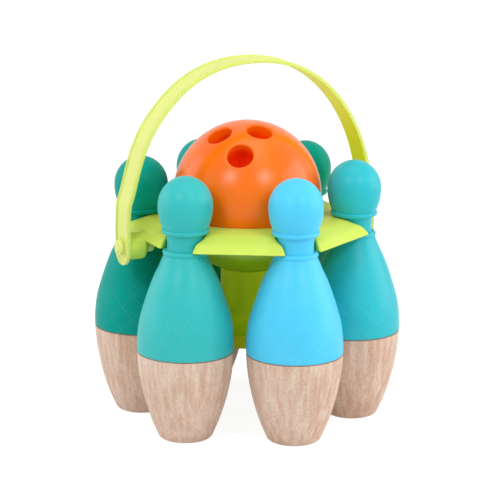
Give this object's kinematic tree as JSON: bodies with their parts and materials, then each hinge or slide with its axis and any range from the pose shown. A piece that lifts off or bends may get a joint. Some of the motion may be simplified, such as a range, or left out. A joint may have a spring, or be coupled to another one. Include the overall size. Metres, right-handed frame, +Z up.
{
  "type": "toy bowling set",
  "caption": "Toy bowling set: skittle pins with wooden feet hang by the neck in a lobed carrier with a hinged arch handle, and the ball sits in its bowl.",
  "frame": {"origin": "centre of the set on the floor, under the ball", "axes": "+Z up, +X along the pivot axis of the handle, +Y completes the right-handed frame"},
  "size_m": [0.2068, 0.224, 0.2636],
  "materials": {
    "pin_1_plastic": "satin, moulded",
    "pin_2_plastic": "satin, moulded",
    "pin_3_plastic": "satin, moulded",
    "pin_4_plastic": "satin, moulded",
    "pin_5_plastic": "satin, moulded",
    "pin_6_plastic": "satin, moulded",
    "foot_wood": "turned and clear lacquered",
    "ball_plastic": "satin gloss",
    "carrier_plastic": "satin, moulded",
    "handle_plastic": "satin, moulded",
    "screw_steel": "zinc plated"
  },
  "bodies": {
    "carrier": {"carrier_plate": "carrier_plastic", "carrier_stem": "carrier_plastic", "stem_screw": "screw_steel", "left_pivot_pin": "handle_plastic", "right_pivot_pin": "handle_plastic"},
    "handle": {"handle": "handle_plastic"},
    "ball": {"ball_upper": "ball_plastic", "ball_lower": "ball_plastic"},
    "pin_1": {"pin_1_top": "pin_1_plastic", "pin_1_foot": "foot_wood", "pin_1_screw": "screw_steel"},
    "pin_2": {"pin_2_top": "pin_2_plastic", "pin_2_foot": "foot_wood", "pin_2_screw": "screw_steel"},
    "pin_3": {"pin_3_top": "pin_3_plastic", "pin_3_foot": "foot_wood", "pin_3_screw": "screw_steel"},
    "pin_4": {"pin_4_top": "pin_4_plastic", "pin_4_foot": "foot_wood", "pin_4_screw": "screw_steel"},
    "pin_5": {"pin_5_top": "pin_5_plastic", "pin_5_foot": "foot_wood", "pin_5_screw": "screw_steel"},
    "pin_6": {"pin_6_top": "pin_6_plastic", "pin_6_foot": "foot_wood", "pin_6_screw": "screw_steel"}
  },
  "joints": [
    {"name": "handle_hinge", "type": "hinge", "parent": "carrier", "child": "handle", "pos_m": [0, 0, 0.1338], "axis": [1, 0, 0], "range_deg": [-95, 95]},
    {"name": "ball_lift", "type": "slide", "parent": "carrier", "child": "ball", "axis": [0, 0, 1], "range_m": [0, 0.04]},
    {"name": "pin_1_pull", "type": "slide", "parent": "carrier", "child": "pin_1", "axis": [0.866, 0.5, 0], "range_m": [0, 0.095]},
    {"name": "pin_2_pull", "type": "slide", "parent": "carrier", "child": "pin_2", "axis": [0, 1, 0], "range_m": [0, 0.095]},
    {"name": "pin_3_pull", "type": "slide", "parent": "carrier", "child": "pin_3", "axis": [-0.866, 0.5, 0], "range_m": [0, 0.095]},
    {"name": "pin_4_pull", "type": "slide", "parent": "carrier", "child": "pin_4", "axis": [-0.866, -0.5, 0], "range_m": [0, 0.095]},
    {"name": "pin_5_pull", "type": "slide", "parent": "carrier", "child": "pin_5", "axis": [0, -1, 0], "range_m": [0, 0.095]},
    {"name": "pin_6_pull", "type": "slide", "parent": "carrier", "child": "pin_6", "axis": [0.866, -0.5, 0], "range_m": [0, 0.095]}
  ]
}
